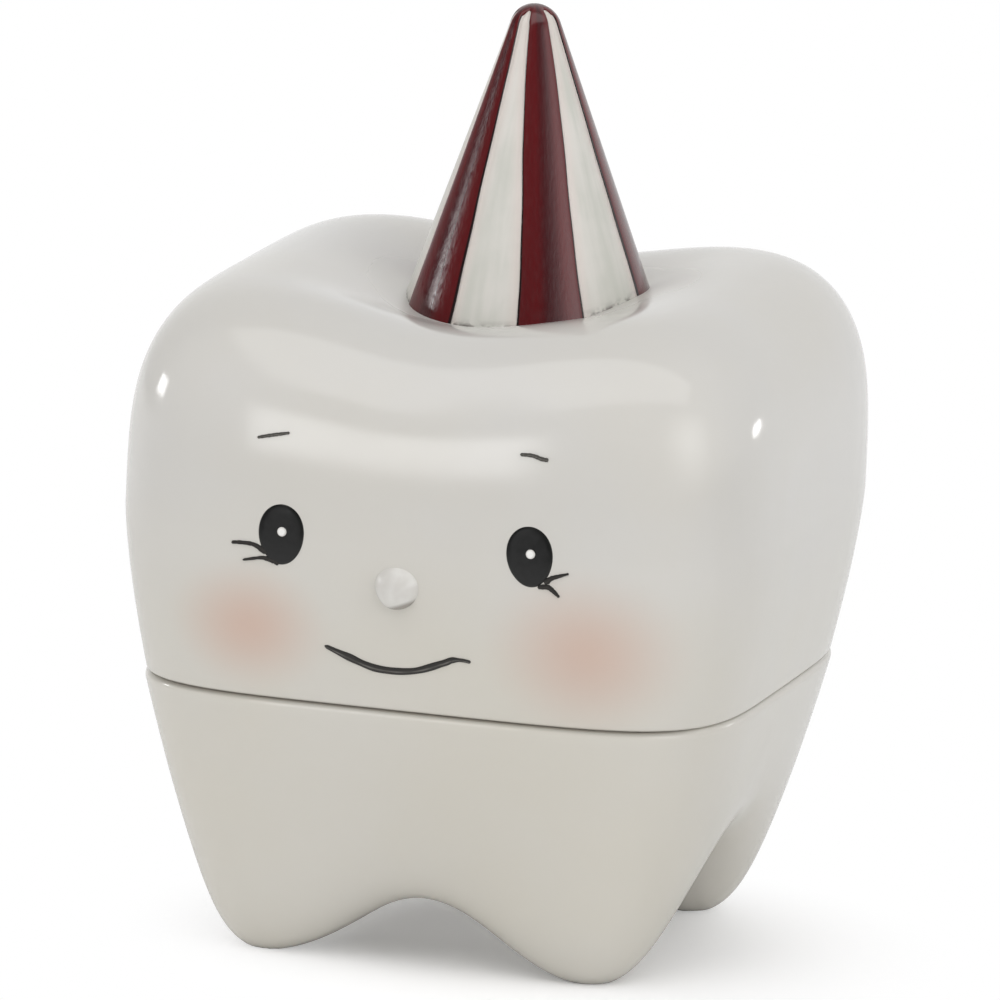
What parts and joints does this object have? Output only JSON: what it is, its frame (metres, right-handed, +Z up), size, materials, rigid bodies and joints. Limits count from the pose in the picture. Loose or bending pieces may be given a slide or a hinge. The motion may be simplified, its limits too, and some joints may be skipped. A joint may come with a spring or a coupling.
{
  "type": "baby tooth box",
  "caption": "Keepsake box shaped like a smiling molar in a striped party hat: the hollow crown lifts off a base on root-shaped legs with a well for baby teeth.",
  "frame": {"origin": "on the floor under the middle of the box", "axes": "+Z up, the face looks towards -Y, +X to the right of someone who looks at the face"},
  "size_m": [0.07, 0.0713, 0.0995],
  "materials": {
    "base_glaze": "cream enamel over cast resin, clear gloss",
    "crown_glaze": "cream enamel over cast resin, clear gloss, soft blush on the cheeks",
    "hat_cream": "brushed cream enamel, low gloss",
    "hat_red": "dark red enamel, satin, darker along its edges",
    "nose_pearl": "pearl-like enamel",
    "eye_black": "black enamel, satin",
    "glint_white": "white enamel dot",
    "line_dark": "thin dark brush stroke"
  },
  "bodies": {
    "base": {"root_base": "base_glaze"},
    "lid": {"crown_lid": "crown_glaze", "party_hat": "hat_cream", "hat_stripes": "hat_red", "nose_bead": "nose_pearl", "eye_left": "eye_black", "eye_right": "eye_black", "eye_glints": "glint_white", "lashes": "line_dark", "brows": "line_dark", "mouth": "line_dark"}
  },
  "joints": [
    {"name": "lid_lift", "type": "slide", "parent": "base", "child": "lid", "axis": [0, 0, 1], "range_m": [0, 0.06]}
  ]
}
